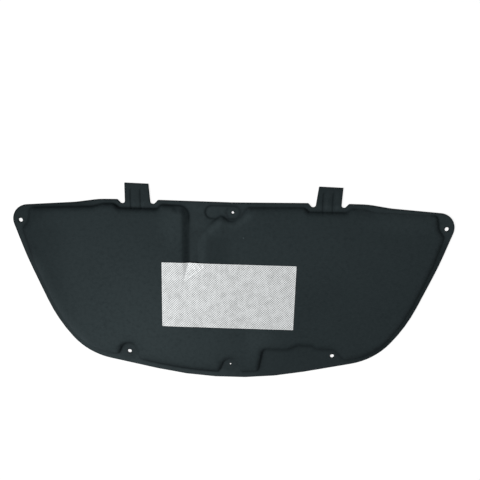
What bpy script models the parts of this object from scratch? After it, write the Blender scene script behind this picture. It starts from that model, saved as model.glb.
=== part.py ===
"""Moulded felt insulation pad for the inside of a car's bonnet, with a foil heat patch bonded on it.

The pad lies flat with the side that faces the engine up. +X is to the right, +Y towards the edge
with the two hanging tabs and +Z out of the felt. The origin is on the underside, at the middle of
the pad's box. All lengths are in metres.
"""
import math

import bmesh
import bpy
import numpy as np
from mathutils import Vector

# Felt: thin pressed rim and thick fields
RIM_THICKNESS = 0.0035
FIELD_THICKNESS = 0.012
FIELD_SHOULDER = 0.008
SHOULDER_SEGMENTS = 3
SHOULDER_PROFILE = 0.5
FIELD_ROOT = 0.001
ARC_STEP = math.radians(12.0)
ARC_SAG = 0.0003
SMALLEST_TURN = math.radians(0.5)
SHORTEST_EDGE = 0.001
MERGE_DISTANCE = 0.00001
SAME_HEIGHT = 0.000001
WALL_STEEPNESS = 0.5

# Outline of the pad, right half: each corner is where two edges would meet, and has its own round
PAD_DEPTH = 0.582
FRONT_SLOPE = math.radians(12.26)
FRONT_BOW_RADIUS = 1.030
FRONT_CORNER_X = 0.4249
FRONT_CORNER_RADIUS = 0.192
SIDE_LOW_X = 0.510
SIDE_LOW_Y = -0.1172
SIDE_LOW_RADIUS = 0.437
SIDE_HIGH_X = 0.5836
SIDE_HIGH_Y = 0.0715
SIDE_HIGH_RADIUS = 0.942
REAR_CORNER_X = 0.6288
REAR_CORNER_Y = 0.2205
REAR_CORNER_RADIUS = 0.044
SHOULDER_OUTER_X = 0.4357
SHOULDER_OUTER_Y = 0.2345
SHOULDER_INNER_X = 0.3714
SHOULDER_INNER_Y = 0.2441
SHOULDER_RADIUS = 0.200
REAR_MIDDLE_Y = 0.2420

# Hanging tabs on the rear edge, each between two notches with a slanting outer side
TAB_LENGTH = 0.0463
TAB_INNER_X = 0.2280
TAB_OUTER_X = 0.2988
TAB_TOP_INNER_X = 0.2325
TAB_TOP_OUTER_X = 0.3008
TAB_CORNER_RADIUS = 0.002
NOTCH_WIDTH = 0.0205
NOTCH_FLOOR_WIDTH = 0.0103
NOTCH_DEPTH = 0.0111
NOTCH_RADIUS = 0.006
NOTCH_TAB_RADIUS = 0.007
NOTCH_LIP_RADIUS = 0.004
TAB_GROOVE_WIDTH = 0.009
TAB_GROOVE_FLOOR = 0.002
TAB_GROOVE_ROUND = 0.0014
TAB_GROOVE_SPACING = 0.027
LEFT_TAB_GROOVES_X = -0.267
RIGHT_TAB_GROOVES_X = 0.2634
TAB_GROOVE_END_GAP = 0.016

# Clip holes, and the two smaller ones in the middle
CLIP_HOLE_DIAMETER = 0.0112
MIDDLE_REAR_HOLE_DIAMETER = 0.0065
MIDDLE_FRONT_HOLE_DIAMETER = 0.0048
HOLE_SIDES = 32
REAR_CORNER_HOLE_X = 0.5935
REAR_CORNER_HOLE_Y = 0.1800
FRONT_HOLE_X = 0.3010
FRONT_HOLE_Y = -0.2130
MIDDLE_REAR_HOLE_Y = 0.2138
MIDDLE_FRONT_HOLE_Y = -0.2475

# Rim widths beside the fields
FRONT_RIM = 0.019
SIDE_RIM = 0.013
REAR_RIM = 0.0125
REAR_OUTER_RIM = 0.0212
RIM_STEP_OUTER_X = 0.390
RIM_STEP_INNER_X = 0.358
TAB_ROOT_RIM = 0.0242
FIELD_CORNER_RADIUS = 0.014
RIM_STEP_RADIUS = 0.028
TAB_FIELD_OUTER_GAP = 0.030
TAB_ROOT_OUTER_GAP = 0.0145
TAB_FIELD_INNER_GAP = 0.0285
FIELD_RUN_STEP = 0.060

# Bare felt round the two corner holes: how far the field's edge keeps from the hole's middle
CORNER_SEAT_BELOW = 0.023
CORNER_SEAT_BELOW_LEAN = 0.005
CORNER_SEAT_BESIDE = 0.022
CORNER_SEAT_BESIDE_LEAN = 0.002
CORNER_SEAT_MOUTH = 0.030
CORNER_SEAT_RADIUS = 0.032
CORNER_REAR_RIM = 0.003

# Seats pressed round the front holes, and the wide pocket at the right one
SEAT_HALF_WIDTH = 0.032
MIDDLE_SEAT_RISE = 0.0185
LEFT_SEAT_RISE = 0.027
POCKET_LEFT_X = 0.090
POCKET_RIGHT_X = 0.305
POCKET_TOP_Y = -0.195
POCKET_CREST_LEFT_X = 0.184
POCKET_CREST_RIGHT_X = 0.240
POCKET_CREST_RISE = 0.015
POCKET_WALL_LEAN = 0.006
POCKET_RIGHT_STEP = 0.005

# Channel between the two fields, which ends in a point under the foil
CHANNEL_LEFT_X = -0.1224
CHANNEL_RIGHT_X = -0.097
CHANNEL_SHOULDER_RADIUS = 0.028
CHANNEL_TIP_X = -0.131
CHANNEL_TIP_Y = 0.008
CHANNEL_TIP_RADIUS = 0.003
CHANNEL_BEND_Y = 0.066
CHANNEL_BEND_RADIUS = 0.030
CHANNEL_SWEEP_Y = 0.140
CHANNEL_SWEEP_RADIUS = 0.060
CHANNEL_BROW_X = -0.050
CHANNEL_BROW_Y = 0.192
CHANNEL_BROW_RADIUS = 0.030
CHANNEL_NOSE_X = -0.030
CHANNEL_NOSE_Y = 0.205
CHANNEL_NOSE_RADIUS = 0.011
CHANNEL_ARC_LEFT_X = -0.010
CHANNEL_ARC_LEFT_RADIUS = 0.008
CHANNEL_ARC_RIGHT_X = 0.003
CHANNEL_ARC_RIGHT_RADIUS = 0.016
CHANNEL_NECK_X = 0.023
CHANNEL_NECK_BELOW_HOLE = 0.011
CHANNEL_NECK_RADIUS = 0.020
CHANNEL_MOUTH_X = 0.041
CHANNEL_MOUTH_RADIUS = 0.014

# Oblong pocket round the rear hole in the middle
CLIP_POCKET_LEFT_X = -0.077
CLIP_POCKET_RIGHT_X = 0.021
CLIP_POCKET_WIDTH = 0.038
CLIP_POCKET_FLOOR = 0.002
CLIP_POCKET_MARGIN = 0.005

# Foil patch
FOIL_WIDTH = 0.381
FOIL_DEPTH = 0.194
FOIL_X = -0.009
FOIL_Y = -0.0304
FOIL_TURN = math.radians(-0.42)
FOIL_THICKNESS = 0.0004
FOIL_GAP = 0.0003
FOIL_DIP = 0.005
FOIL_DIP_RUN = 0.020
FOIL_DIP_INSET = 0.003
FOIL_CELL = 0.007

# Finishes, as seen on the felt and on the foil
FELT_COLOUR = (0.028, 0.041, 0.045, 1.0)
FELT_ROUGHNESS = 0.95
FELT_METALLIC = 0.0
FOIL_COLOUR = (0.62, 0.65, 0.66, 1.0)
FOIL_ROUGHNESS = 0.35
FOIL_METALLIC = 0.9

FIELD_BASE = min(CLIP_POCKET_FLOOR, TAB_GROOVE_FLOOR) - FIELD_ROOT
REAR_EDGE_Y = PAD_DEPTH / 2 - TAB_LENGTH
FRONT_BOW_LIFT = FRONT_BOW_RADIUS * (1 / math.cos(FRONT_SLOPE) - 1)
FRONT_APEX_Y = -PAD_DEPTH / 2 - FRONT_BOW_LIFT
FRONT_CORNER_Y = FRONT_APEX_Y + FRONT_CORNER_X * math.tan(FRONT_SLOPE)
CUTTER_DEPTH = 4 * FIELD_THICKNESS


def clear_scene():
    """Removes every object that the new file starts with."""
    for old in list(bpy.data.objects):
        bpy.data.objects.remove(old, do_unlink=True)


def new_collection(name, parent=None):
    """Makes a collection in the scene, or in another collection."""
    made = bpy.data.collections.new(name)
    (parent or bpy.context.scene.collection).children.link(made)
    return made


def new_material(name, colour, roughness, metallic):
    """Makes a plain Principled material."""
    made = bpy.data.materials.new(name)
    made.use_nodes = True
    shader = made.node_tree.nodes["Principled BSDF"]
    shader.inputs["Base Color"].default_value = colour
    shader.inputs["Roughness"].default_value = roughness
    shader.inputs["Metallic"].default_value = metallic
    return made


def arm_pair(corners, index):
    """The two edges that leave a corner of a closed outline, as vectors, and the turn between them."""
    corner = Vector(corners[index][:2])
    before = Vector(corners[index - 1][:2]) - corner
    after = Vector(corners[(index + 1) % len(corners)][:2]) - corner
    return before, after, math.pi - before.angle(after)


def rounded(corners):
    """Turns corners (x, y, radius) of a closed outline into points, with an arc at each round corner.

    Where two rounds need more than the edge between them, both shrink by the same share.
    """
    arms = [arm_pair(corners, index) for index in range(len(corners))]
    reaches = [corner[2] * math.tan(arm[2] / 2) for corner, arm in zip(corners, arms)]
    points = []
    for index, (x, y, radius) in enumerate(corners):
        before, after, turn = arms[index]
        if radius <= 0 or turn < SMALLEST_TURN:
            points.append((x, y))
            continue
        need_before = reaches[index] + reaches[index - 1]
        need_after = reaches[index] + reaches[(index + 1) % len(corners)]
        share = min(1.0, before.length / need_before, after.length / need_after)
        size = radius * share
        corner = Vector((x, y))
        start = corner + before.normalized() * (reaches[index] * share)
        middle = (before.normalized() + after.normalized()).normalized()
        centre = corner + middle * (size / math.cos(turn / 2))
        arm = start - centre
        sign = 1.0 if (-before).cross(after) > 0 else -1.0
        finest = 2 * math.acos(1 - min(1.0, ARC_SAG / size))
        steps = max(2, math.ceil(turn / min(ARC_STEP, finest)))
        for step in range(steps + 1):
            angle = sign * turn * step / steps
            swung = (centre.x + arm.x * math.cos(angle) - arm.y * math.sin(angle),
                     centre.y + arm.x * math.sin(angle) + arm.y * math.cos(angle))
            if not points or math.dist(points[-1], swung) > SHORTEST_EDGE:
                points.append(swung)
    if math.dist(points[0], points[-1]) < SHORTEST_EDGE:
        points.pop()
    return points


def mirrored(corners):
    """The same corners on the left half, in the order that goes on round the outline."""
    return [(-x, y, radius) for x, y, radius in reversed(corners)]


def solid_from(name, outline, low, high):
    """Makes a flat plate between two heights from an outline, as a mesh object."""
    curve = bpy.data.curves.new(name + "_outline", "CURVE")
    curve.dimensions = "2D"
    curve.fill_mode = "BOTH"
    curve.extrude = (high - low) / 2
    spline = curve.splines.new("POLY")
    spline.points.add(len(outline) - 1)
    for point, (x, y) in zip(spline.points, outline):
        point.co = (x, y, 0.0, 1.0)
    spline.use_cyclic_u = True
    drawn = bpy.data.objects.new(name + "_outline", curve)
    drawn.location = (0.0, 0.0, (low + high) / 2)
    bpy.context.scene.collection.objects.link(drawn)
    bpy.context.view_layer.update()
    seen = drawn.evaluated_get(bpy.context.evaluated_depsgraph_get())
    mesh = bpy.data.meshes.new_from_object(seen)
    mesh.transform(drawn.matrix_world)
    bpy.data.objects.remove(drawn, do_unlink=True)
    work = bmesh.new()
    work.from_mesh(mesh)
    bmesh.ops.remove_doubles(work, verts=work.verts, dist=MERGE_DISTANCE)
    bmesh.ops.recalc_face_normals(work, faces=work.faces)
    work.to_mesh(mesh)
    work.free()
    mesh.name = name
    return bpy.data.objects.new(name, mesh)


def round_rim(thing, height, size):
    """Rounds the rim of a plate where its top face, at a height, meets its walls."""
    work = bmesh.new()
    work.from_mesh(thing.data)
    rim = [edge for edge in work.edges
           if all(abs(vert.co.z - height) < SAME_HEIGHT for vert in edge.verts)
           and any(abs(face.normal.z) < WALL_STEEPNESS for face in edge.link_faces)]
    bmesh.ops.bevel(work, geom=rim, offset=size, segments=SHOULDER_SEGMENTS,
                    profile=SHOULDER_PROFILE, affect="EDGES", clamp_overlap=False)
    work.to_mesh(thing.data)
    work.free()


def combine(base, name, tools, operation, store):
    """Joins or cuts a base with all its tools by one Boolean modifier, and keeps the tools hidden."""
    kept = new_collection(name, store)
    for tool in tools:
        kept.objects.link(tool)
        tool.hide_render = True
        tool.display_type = "WIRE"
    step = base.modifiers.new(name, "BOOLEAN")
    step.operation = operation
    step.solver = "EXACT"
    step.operand_type = "COLLECTION"
    step.collection = kept


def pad_corners():
    """Corners of the pad's outline, anticlockwise from the front."""
    notch_y = REAR_EDGE_Y - NOTCH_DEPTH
    half = [
        (FRONT_CORNER_X, FRONT_CORNER_Y, FRONT_CORNER_RADIUS),
        (SIDE_LOW_X, SIDE_LOW_Y, SIDE_LOW_RADIUS),
        (SIDE_HIGH_X, SIDE_HIGH_Y, SIDE_HIGH_RADIUS),
        (REAR_CORNER_X, REAR_CORNER_Y, REAR_CORNER_RADIUS),
        (SHOULDER_OUTER_X, SHOULDER_OUTER_Y, SHOULDER_RADIUS),
        (SHOULDER_INNER_X, SHOULDER_INNER_Y, SHOULDER_RADIUS),
        (TAB_OUTER_X + NOTCH_WIDTH, REAR_EDGE_Y, NOTCH_LIP_RADIUS),
        (TAB_OUTER_X + NOTCH_FLOOR_WIDTH, notch_y, NOTCH_RADIUS),
        (TAB_OUTER_X, notch_y, NOTCH_TAB_RADIUS),
        (TAB_TOP_OUTER_X, PAD_DEPTH / 2, TAB_CORNER_RADIUS),
        (TAB_TOP_INNER_X, PAD_DEPTH / 2, TAB_CORNER_RADIUS),
        (TAB_INNER_X, notch_y, NOTCH_TAB_RADIUS),
        (TAB_INNER_X - NOTCH_FLOOR_WIDTH, notch_y, NOTCH_RADIUS),
        (TAB_INNER_X - NOTCH_WIDTH, REAR_EDGE_Y, NOTCH_LIP_RADIUS),
        (0.0, REAR_MIDDLE_Y, 0.0),
    ]
    return [(0.0, FRONT_APEX_Y, FRONT_BOW_RADIUS)] + half + mirrored(half[:-1])


def front_edge(x):
    """Y of the pad's front edge at x: an arc in the middle and a straight slope beside it."""
    reach = FRONT_BOW_RADIUS * math.sin(FRONT_SLOPE)
    if abs(x) < reach:
        return -PAD_DEPTH / 2 + FRONT_BOW_RADIUS - math.sqrt(FRONT_BOW_RADIUS ** 2 - x ** 2)
    return FRONT_APEX_Y + abs(x) * math.tan(FRONT_SLOPE)


def front_run(start, end):
    """Points along the fields' front edge from one x to another, a rim's width inside the pad's edge."""
    count = max(1, round(abs(end - start) / FIELD_RUN_STEP))
    places = np.linspace(start, end, count + 1)
    return [(x, front_edge(x) + FRONT_RIM, 0.0) for x in places.tolist()]


def inset(before, corner, after, width):
    """Moves a corner of an anticlockwise outline inwards by a width from both of its edges."""
    here = Vector(corner[:2])
    first = (here - Vector(before[:2])).normalized()
    second = (Vector(after[:2]) - here).normalized()
    side = Vector((-first.y - second.y, first.x + second.x)).normalized()
    stretch = width / math.cos(first.angle(second) / 2)
    moved = here + side * stretch
    return (moved.x, moved.y, max(corner[2] - width, 0.0))


def field_side():
    """Corners of a field along the pad's right side, from the front corner to the hole at the rear."""
    pad = pad_corners()
    run = [inset(pad[index - 1], pad[index], pad[index + 1], SIDE_RIM) for index in (1, 2, 3)]
    return run + [
        (REAR_CORNER_HOLE_X - CORNER_SEAT_BELOW_LEAN, REAR_CORNER_HOLE_Y - CORNER_SEAT_BELOW,
         FIELD_CORNER_RADIUS),
        (REAR_CORNER_HOLE_X - CORNER_SEAT_BESIDE, REAR_CORNER_HOLE_Y - CORNER_SEAT_BESIDE_LEAN,
         CORNER_SEAT_RADIUS),
        (REAR_CORNER_HOLE_X - CORNER_SEAT_MOUTH, REAR_CORNER_Y - CORNER_REAR_RIM, FIELD_CORNER_RADIUS),
    ]


def field_rear():
    """Corners of a field along the right half of the rear edge, from the corner inwards past the tab."""
    rear = REAR_EDGE_Y - REAR_RIM
    root = REAR_EDGE_Y - TAB_ROOT_RIM
    return [
        (RIM_STEP_OUTER_X, REAR_EDGE_Y - REAR_OUTER_RIM, RIM_STEP_RADIUS),
        (RIM_STEP_INNER_X, rear, FIELD_CORNER_RADIUS),
        (TAB_OUTER_X + TAB_FIELD_OUTER_GAP, rear, FIELD_CORNER_RADIUS),
        (TAB_OUTER_X + TAB_ROOT_OUTER_GAP, root, FIELD_CORNER_RADIUS),
        (TAB_INNER_X - NOTCH_WIDTH, root, FIELD_CORNER_RADIUS),
        (TAB_INNER_X - TAB_FIELD_INNER_GAP, rear, FIELD_CORNER_RADIUS),
    ]


def front_seat(hole_x, top_y):
    """Corners of the round-topped seat that opens to the front rim at a hole in the front edge."""
    left = hole_x - SEAT_HALF_WIDTH
    right = hole_x + SEAT_HALF_WIDTH
    return [
        (left, front_edge(left) + FRONT_RIM, FIELD_CORNER_RADIUS),
        (hole_x - SEAT_HALF_WIDTH / 2, top_y, SEAT_HALF_WIDTH),
        (hole_x + SEAT_HALF_WIDTH / 2, top_y, SEAT_HALF_WIDTH),
        (right, front_edge(right) + FRONT_RIM, FIELD_CORNER_RADIUS),
    ]


def front_pocket():
    """Corners of the wide pocket at the right front hole, from its left wall to the front rim beyond it."""
    crest = POCKET_TOP_Y + POCKET_CREST_RISE
    right_top = POCKET_TOP_Y + POCKET_RIGHT_STEP
    mouth_x = POCKET_RIGHT_X + SEAT_HALF_WIDTH
    return [
        (POCKET_LEFT_X - POCKET_WALL_LEAN, front_edge(POCKET_LEFT_X) + FRONT_RIM, FIELD_CORNER_RADIUS),
        (POCKET_LEFT_X + POCKET_WALL_LEAN, POCKET_TOP_Y, FIELD_CORNER_RADIUS),
        (POCKET_CREST_LEFT_X - POCKET_CREST_RISE, POCKET_TOP_Y, POCKET_CREST_RISE),
        (POCKET_CREST_LEFT_X + POCKET_CREST_RISE, crest, POCKET_CREST_RISE),
        (POCKET_CREST_RIGHT_X, crest, POCKET_CREST_RISE),
        (POCKET_CREST_RIGHT_X + POCKET_CREST_RISE, right_top, POCKET_CREST_RISE),
        (POCKET_RIGHT_X, right_top, SEAT_HALF_WIDTH),
        (mouth_x, front_edge(mouth_x) + FRONT_RIM, FIELD_CORNER_RADIUS),
    ]


def channel():
    """Corners of the channel, from its mouth on the rear rim down to its tip and up again."""
    rear = REAR_MIDDLE_Y - REAR_RIM
    below_clip = MIDDLE_REAR_HOLE_Y - CLIP_POCKET_WIDTH / 2 - CLIP_POCKET_MARGIN
    return [
        (CHANNEL_MOUTH_X, rear, CHANNEL_MOUTH_RADIUS),
        (CHANNEL_NECK_X, MIDDLE_REAR_HOLE_Y - CHANNEL_NECK_BELOW_HOLE, CHANNEL_NECK_RADIUS),
        (CHANNEL_ARC_RIGHT_X, below_clip, CHANNEL_ARC_RIGHT_RADIUS),
        (CHANNEL_ARC_LEFT_X, below_clip, CHANNEL_ARC_LEFT_RADIUS),
        (CHANNEL_NOSE_X, CHANNEL_NOSE_Y, CHANNEL_NOSE_RADIUS),
        (CHANNEL_BROW_X, CHANNEL_BROW_Y, CHANNEL_BROW_RADIUS),
        (CHANNEL_RIGHT_X, CHANNEL_SWEEP_Y, CHANNEL_SWEEP_RADIUS),
        (CHANNEL_RIGHT_X, CHANNEL_BEND_Y, CHANNEL_BEND_RADIUS),
        (CHANNEL_TIP_X, CHANNEL_TIP_Y, CHANNEL_TIP_RADIUS),
        (CHANNEL_LEFT_X, CHANNEL_BEND_Y, CHANNEL_BEND_RADIUS),
        (CHANNEL_LEFT_X, rear, CHANNEL_SHOULDER_RADIUS),
    ]


def field_corners():
    """Corners of the thick fields, one closed outline with the channel cut into it from the rear."""
    left_seat = front_seat(-FRONT_HOLE_X, FRONT_HOLE_Y + LEFT_SEAT_RISE)
    middle_seat = front_seat(0.0, MIDDLE_FRONT_HOLE_Y + MIDDLE_SEAT_RISE)
    left_side = mirrored(field_side())
    return (
        middle_seat
        + front_pocket()
        + field_side()
        + field_rear()
        + channel()
        + mirrored(field_rear())
        + left_side
        + left_seat
        + front_run(left_seat[-1][0] + FIELD_RUN_STEP, middle_seat[0][0] - FIELD_RUN_STEP)
    )


def field():
    """The thick fields as one plate with a rounded upper rim, sunk below the rim plate's hollows."""
    made = solid_from("field", rounded(field_corners()), FIELD_BASE, FIELD_THICKNESS)
    round_rim(made, FIELD_THICKNESS, FIELD_SHOULDER)
    return made


def tab_groove_cutter(name, x):
    """A round-bottomed groove pressed into a hanging tab, which runs up the tab from the field's foot."""
    half = TAB_GROOVE_WIDTH / 2
    low_y = REAR_EDGE_Y - TAB_ROOT_RIM - TAB_GROOVE_WIDTH
    high_y = PAD_DEPTH / 2 - TAB_GROOVE_END_GAP
    corners = [
        (x - half, low_y, half),
        (x + half, low_y, half),
        (x + half, high_y, half),
        (x - half, high_y, half),
    ]
    made = solid_from(name, rounded(corners), TAB_GROOVE_FLOOR, RIM_THICKNESS + FIELD_ROOT)
    round_rim(made, TAB_GROOVE_FLOOR, TAB_GROOVE_ROUND)
    return made


def tab_groove_cutters():
    """The two grooves of each hanging tab."""
    half = TAB_GROOVE_SPACING / 2
    return [
        tab_groove_cutter("groove_outer_left", LEFT_TAB_GROOVES_X - half),
        tab_groove_cutter("groove_inner_left", LEFT_TAB_GROOVES_X + half),
        tab_groove_cutter("groove_inner_right", RIGHT_TAB_GROOVES_X - half),
        tab_groove_cutter("groove_outer_right", RIGHT_TAB_GROOVES_X + half),
    ]


def hole_cutter(name, x, y, diameter):
    """An upright cylinder through the felt at a clip hole."""
    work = bmesh.new()
    bmesh.ops.create_cone(work, cap_ends=True, segments=HOLE_SIDES, radius1=diameter / 2,
                          radius2=diameter / 2, depth=CUTTER_DEPTH)
    bmesh.ops.translate(work, verts=work.verts, vec=(x, y, 0.0))
    mesh = bpy.data.meshes.new(name)
    work.to_mesh(mesh)
    work.free()
    return bpy.data.objects.new(name, mesh)


def clip_pocket_cutter():
    """The oblong pocket pressed into the channel's floor round the rear hole in the middle."""
    half = CLIP_POCKET_WIDTH / 2
    low_y = MIDDLE_REAR_HOLE_Y - half
    high_y = MIDDLE_REAR_HOLE_Y + half
    corners = [
        (CLIP_POCKET_LEFT_X, low_y, half),
        (CLIP_POCKET_RIGHT_X, low_y, half),
        (CLIP_POCKET_RIGHT_X, high_y, half),
        (CLIP_POCKET_LEFT_X, high_y, half),
    ]
    return solid_from("clip_pocket", rounded(corners), CLIP_POCKET_FLOOR, RIM_THICKNESS + FIELD_ROOT)


def clip_holes():
    """Names, places and diameters of the six holes."""
    return {
        "hole_rear_left": (-REAR_CORNER_HOLE_X, REAR_CORNER_HOLE_Y, CLIP_HOLE_DIAMETER),
        "hole_rear_middle": (0.0, MIDDLE_REAR_HOLE_Y, MIDDLE_REAR_HOLE_DIAMETER),
        "hole_rear_right": (REAR_CORNER_HOLE_X, REAR_CORNER_HOLE_Y, CLIP_HOLE_DIAMETER),
        "hole_front_left": (-FRONT_HOLE_X, FRONT_HOLE_Y, CLIP_HOLE_DIAMETER),
        "hole_front_middle": (0.0, MIDDLE_FRONT_HOLE_Y, MIDDLE_FRONT_HOLE_DIAMETER),
        "hole_front_right": (FRONT_HOLE_X, FRONT_HOLE_Y, CLIP_HOLE_DIAMETER),
    }


def felt_pad(parts, cutters):
    """The moulded felt as one piece: rim plate, pocket, tab grooves, thick fields and clip holes."""
    pad = solid_from("felt_pad", rounded(pad_corners()), 0.0, RIM_THICKNESS)
    parts.objects.link(pad)
    combine(pad, "pressed_hollows", [clip_pocket_cutter()] + tab_groove_cutters(), "DIFFERENCE", cutters)
    combine(pad, "thick_fields", [field()], "UNION", cutters)
    holes = [hole_cutter(name, *size) for name, size in clip_holes().items()]
    combine(pad, "clip_holes", holes, "DIFFERENCE", cutters)
    pad.data.materials.append(new_material("felt", FELT_COLOUR, FELT_ROUGHNESS, FELT_METALLIC))
    return pad


def foil_height(x, y):
    """Height of the foil's underside: flat on the field, with a shallow dip over the channel's end.

    The dip grows with the distance inside the channel's left wall and inside the line from its
    right bend to its tip, and its slope starts at the top of the field's shoulder.
    """
    run_x = CHANNEL_RIGHT_X - CHANNEL_TIP_X
    run_y = CHANNEL_BEND_Y - CHANNEL_TIP_Y
    length = math.hypot(run_x, run_y)
    inside_right = ((y - CHANNEL_TIP_Y) * run_x - (x - CHANNEL_TIP_X) * run_y) / length
    inside_left = x - CHANNEL_LEFT_X
    inside = np.minimum(inside_left, inside_right) + FIELD_SHOULDER - FOIL_DIP_INSET
    share = np.clip(inside / FOIL_DIP_RUN, 0.0, 1.0)
    return FIELD_THICKNESS + FOIL_GAP - FOIL_DIP * share * share * (3 - 2 * share)


def foil_patch(parts):
    """The bonded foil: a thin sheet that lies on the field and follows the dip of the channel's end."""
    work = bmesh.new()
    across = round(FOIL_WIDTH / FOIL_CELL)
    along = round(FOIL_DEPTH / FOIL_CELL)
    bmesh.ops.create_grid(work, x_segments=across, y_segments=along, size=0.5)
    cos_turn = math.cos(FOIL_TURN)
    sin_turn = math.sin(FOIL_TURN)
    for vert in work.verts:
        u = vert.co.x * FOIL_WIDTH
        v = vert.co.y * FOIL_DEPTH
        x = FOIL_X + u * cos_turn - v * sin_turn
        y = FOIL_Y + u * sin_turn + v * cos_turn
        vert.co = (x, y, float(foil_height(x, y)))
    mesh = bpy.data.meshes.new("foil_patch")
    work.to_mesh(mesh)
    work.free()
    foil = bpy.data.objects.new("foil_patch", mesh)
    parts.objects.link(foil)
    wall = foil.modifiers.new("thickness", "SOLIDIFY")
    wall.thickness = FOIL_THICKNESS
    wall.offset = 1.0
    foil.data.materials.append(new_material("foil", FOIL_COLOUR, FOIL_ROUGHNESS, FOIL_METALLIC))
    return foil


def build():
    """Builds the whole pad."""
    clear_scene()
    parts = new_collection("hood_insulation_pad")
    cutters = new_collection("cutters")
    felt_pad(parts, cutters)
    foil_patch(parts)


build()
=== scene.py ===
"""Looks of a moulded felt insulation pad for a car's bonnet, with its bonded foil heat patch.

The pad lies on its flat underside with the side that faces the engine up. Lengths are in metres,
+X runs to the right along the pad, +Y towards the two hanging tabs and +Z out of the felt.
"""

import logging
import math
from dataclasses import dataclass, field
from enum import Enum
from typing import Any, Callable, Optional, Union

import bmesh
import bpy
import numpy as np
from mathutils import Matrix
from mathutils.geometry import delaunay_2d_cdt

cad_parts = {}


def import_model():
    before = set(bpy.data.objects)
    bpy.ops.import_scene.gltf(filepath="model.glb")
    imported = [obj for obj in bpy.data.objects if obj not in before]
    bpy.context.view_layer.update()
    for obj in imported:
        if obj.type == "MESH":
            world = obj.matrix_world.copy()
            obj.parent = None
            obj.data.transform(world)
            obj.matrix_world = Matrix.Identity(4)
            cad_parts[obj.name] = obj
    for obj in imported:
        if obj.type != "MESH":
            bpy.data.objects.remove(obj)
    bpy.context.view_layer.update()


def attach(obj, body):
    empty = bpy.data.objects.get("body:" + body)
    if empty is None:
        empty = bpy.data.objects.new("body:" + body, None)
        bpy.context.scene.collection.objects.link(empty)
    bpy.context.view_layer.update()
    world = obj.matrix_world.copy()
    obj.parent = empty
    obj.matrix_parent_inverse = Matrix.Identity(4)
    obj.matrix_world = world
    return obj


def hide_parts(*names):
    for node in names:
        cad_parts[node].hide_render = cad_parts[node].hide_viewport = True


LOG = logging.getLogger("hood_insulation_pad")
MM = 0.001
CHUNK = 8192

# A corner is x, y and its radius, in millimetres. An edge is a pair: where it is still 0 and where it
# reaches 1. A bell is a pair of its middle and its reach. A table is pairs of a place and its value. A spot
# is its share, its middle in x and y and its reach in x and y. A wrinkle is its start and its end in x and
# y, and its height, in millimetres.
Corner = tuple[float, float, float]
Colour = tuple[float, float, float]
Vector = tuple[float, float, float]
Pair = tuple[float, float]
Table = tuple[Pair, ...]
Spot = tuple[float, float, float, float, float]
Wrinkle = tuple[float, float, float, float, float]
Input = Union["Value", float, Colour]


class Body(Enum):
    """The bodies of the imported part."""

    ROOT = "root"


# ---- Curves and surfaces in plan ----


def smooth(values: np.ndarray, low: float, high: float) -> np.ndarray:
    """Eases from 0 at low to 1 at high by the formula 3 s squared minus 2 s cubed.

    Args:
        values: The numbers to ease.
        low: Where the result leaves 0.
        high: Where the result reaches 1.

    Returns:
        An array of the same shape, from 0 to 1.
    """
    share = np.clip((values - low) / (high - low), 0.0, 1.0)
    return share * share * (3.0 - 2.0 * share)


def bell(values: np.ndarray, middle: Union[float, np.ndarray], reach: Union[float, np.ndarray]) -> np.ndarray:
    """A bell: e to the power of minus the square of the distance from the middle over the reach."""
    return np.exp(-((values - middle) / reach) ** 2)


def read(table: Table, along: np.ndarray) -> np.ndarray:
    """Reads a table at other places, on straight lines between its rows."""
    return np.interp(along, *zip(*table))


def spotted(spots: tuple[Spot, ...], places: np.ndarray) -> np.ndarray:
    """The largest of several spots at places in plan, each its share times a bell in x and one in y."""
    share, x, y, reach_x, reach_y = np.array(spots).T
    return (share * bell(places[:, 0, None], x, reach_x) * bell(places[:, 1, None], y, reach_y)).max(1)


@dataclass(frozen=True)
class Window:
    """A soft window in plan: a share times an easing over each edge that it has.

    The left and right edges ease along X, the front and rear ones along Y. The rear edge may lean: it
    eases along Y plus the lean times X.
    """

    share: float = 1.0
    left: Optional[Pair] = None
    right: Optional[Pair] = None
    front: Optional[Pair] = None
    rear: Optional[Pair] = None
    lean: float = 0.0

    def at(self, places: np.ndarray) -> np.ndarray:
        """How open the window is.

        Args:
            places: Points in plan, one in each row.

        Returns:
            One value for each place, from 0 to the share.
        """
        x, y = places.T
        found = np.full(len(places), self.share)
        for along, edge in ((x, self.left), (x, self.right), (y, self.front), (y + self.lean * x, self.rear)):
            if edge is not None:
                found = found * smooth(along, *edge)
        return found


def largest(windows: tuple[Window, ...], places: np.ndarray) -> np.ndarray:
    """The largest of several windows at places in plan."""
    return np.maximum.reduce([window.at(places) for window in windows])


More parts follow.
